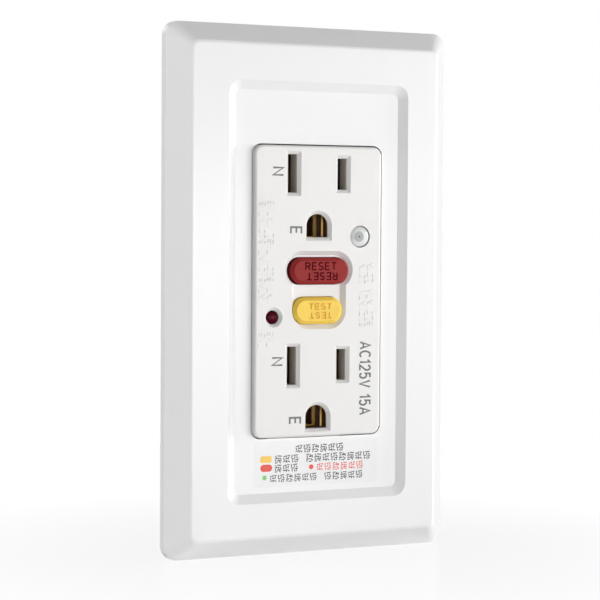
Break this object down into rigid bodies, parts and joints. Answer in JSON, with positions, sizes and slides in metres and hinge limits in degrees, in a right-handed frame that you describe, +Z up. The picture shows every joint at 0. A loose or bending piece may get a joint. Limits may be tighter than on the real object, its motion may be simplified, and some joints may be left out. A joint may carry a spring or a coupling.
{
  "type": "residual current device socket",
  "caption": "Duplex earthed wall outlet with reset and test buttons, indicator lamps and a wall plate that clips on; a tripping mechanism sits in the housing behind it.",
  "frame": {"origin": "on the wall's surface, midway between the two wall box screws", "axes": "+Y into the wall, the front faces -Y; +Z up; +X to the right as seen from the room"},
  "size_m": [0.0716, 0.0351, 0.1216],
  "materials": {
    "plate_plastic": "gloss",
    "frame_plastic": "matt",
    "steel": "zinc plated",
    "fibre": "fibre",
    "face_plastic": "satin",
    "reset_plastic": "satin",
    "test_plastic": "satin",
    "spring_steel": "bright",
    "brass": "stamped",
    "power_lens": "clear",
    "fault_lens": "clear",
    "silver": "bright",
    "green_steel": "green plated",
    "tray_plastic": "matt",
    "copper_wire": "enamelled",
    "lifter_plastic": "matt",
    "board_laminate": "solder mask",
    "component_black": "sleeve",
    "ferrite": "sintered",
    "component_blue": "epoxy",
    "component_yellow": "tape",
    "component_tan": "lacquer",
    "housing_plastic": "matt"
  },
  "bodies": {
    "housing": {"wall_plate": "plate_plastic", "plate_frame": "frame_plastic", "plate_screws": "steel", "mounting_strap": "steel", "box_screws": "steel", "screw_retainers": "fibre", "face_cover": "face_plastic", "reset_spring": "spring_steel", "test_spring": "spring_steel", "plunger_spring": "spring_steel", "test_contact": "brass", "power_lamp": "power_lens", "fault_lamp": "fault_lens", "power_lamp_leads": "silver", "fault_lamp_leads": "silver", "upper_earth_clip": "brass", "lower_earth_clip": "brass", "earth_rivets": "steel", "earth_clamp": "steel", "earth_screw": "green_steel", "contact_tray": "tray_plastic", "live_bus": "brass", "neutral_bus": "brass", "fixed_contacts": "silver", "live_post": "brass", "neutral_post": "brass", "coil_bobbin": "lifter_plastic", "coil_winding": "copper_wire", "coil_bracket": "steel", "live_line_terminal": "brass", "neutral_line_terminal": "brass", "live_terminal_screws": "brass", "neutral_terminal_screws": "silver", "terminal_clamps": "steel", "circuit_board": "board_laminate", "transformer_case": "component_black", "transformer_cores": "ferrite", "varistor": "component_blue", "storage_capacitor": "component_black", "film_capacitor": "component_yellow", "resistors": "component_tan", "control_chip": "component_black", "rear_housing": "housing_plastic", "housing_screws": "steel"},
    "reset": {"reset_button": "reset_plastic", "reset_pin": "steel"},
    "test": {"test_button": "test_plastic"},
    "lifter": {"contact_lifter": "lifter_plastic"},
    "latch": {"latch_plate": "steel"},
    "live_arm_body": {"live_arm": "copper_wire", "live_arm_contact": "silver"},
    "neutral_arm_body": {"neutral_arm": "copper_wire", "neutral_arm_contact": "silver"},
    "plunger_body": {"plunger": "steel"}
  },
  "joints": [
    {"name": "reset_slide", "type": "slide", "parent": "housing", "child": "reset", "axis": [0, 1, 0], "range_m": [-0.0018, 0.0012], "stiffness_N_per_m": 150, "deforming": ["reset_spring"]},
    {"name": "test_slide", "type": "slide", "parent": "housing", "child": "test", "axis": [0, 1, 0], "range_m": [0, 0.0014], "stiffness_N_per_m": 150, "springref_m": -0.001, "deforming": ["test_spring"]},
    {"name": "lifter_slide", "type": "slide", "parent": "housing", "child": "lifter", "axis": [0, 1, 0], "range_m": [0, 0.0016], "stiffness_N_per_m": 120, "springref_m": -0.001},
    {"name": "live_arm_bend", "type": "hinge", "parent": "housing", "child": "live_arm_body", "pos_m": [0.007, 0.01042, -0.014], "axis": [-1, 0, 0], "range_deg": [0, 6]},
    {"name": "neutral_arm_bend", "type": "hinge", "parent": "housing", "child": "neutral_arm_body", "pos_m": [-0.007, 0.01042, -0.014], "axis": [-1, 0, 0], "range_deg": [0, 6]},
    {"name": "plunger_slide", "type": "slide", "parent": "housing", "child": "plunger_body", "axis": [0, 0, -1], "range_m": [0, 0.0012], "stiffness_N_per_m": 150, "springref_m": -0.002, "deforming": ["plunger_spring"]},
    {"name": "latch_slide", "type": "slide", "parent": "lifter", "child": "latch", "axis": [0, 0, -1], "range_m": [0, 0.0012]}
  ],
  "couplings": [
    {"joint": "live_arm_bend", "follows": "lifter_slide", "rad_per_m": 47},
    {"joint": "neutral_arm_bend", "follows": "lifter_slide", "rad_per_m": 47},
    {"joint": "latch_slide", "follows": "plunger_slide", "ratio": 1}
  ]
}
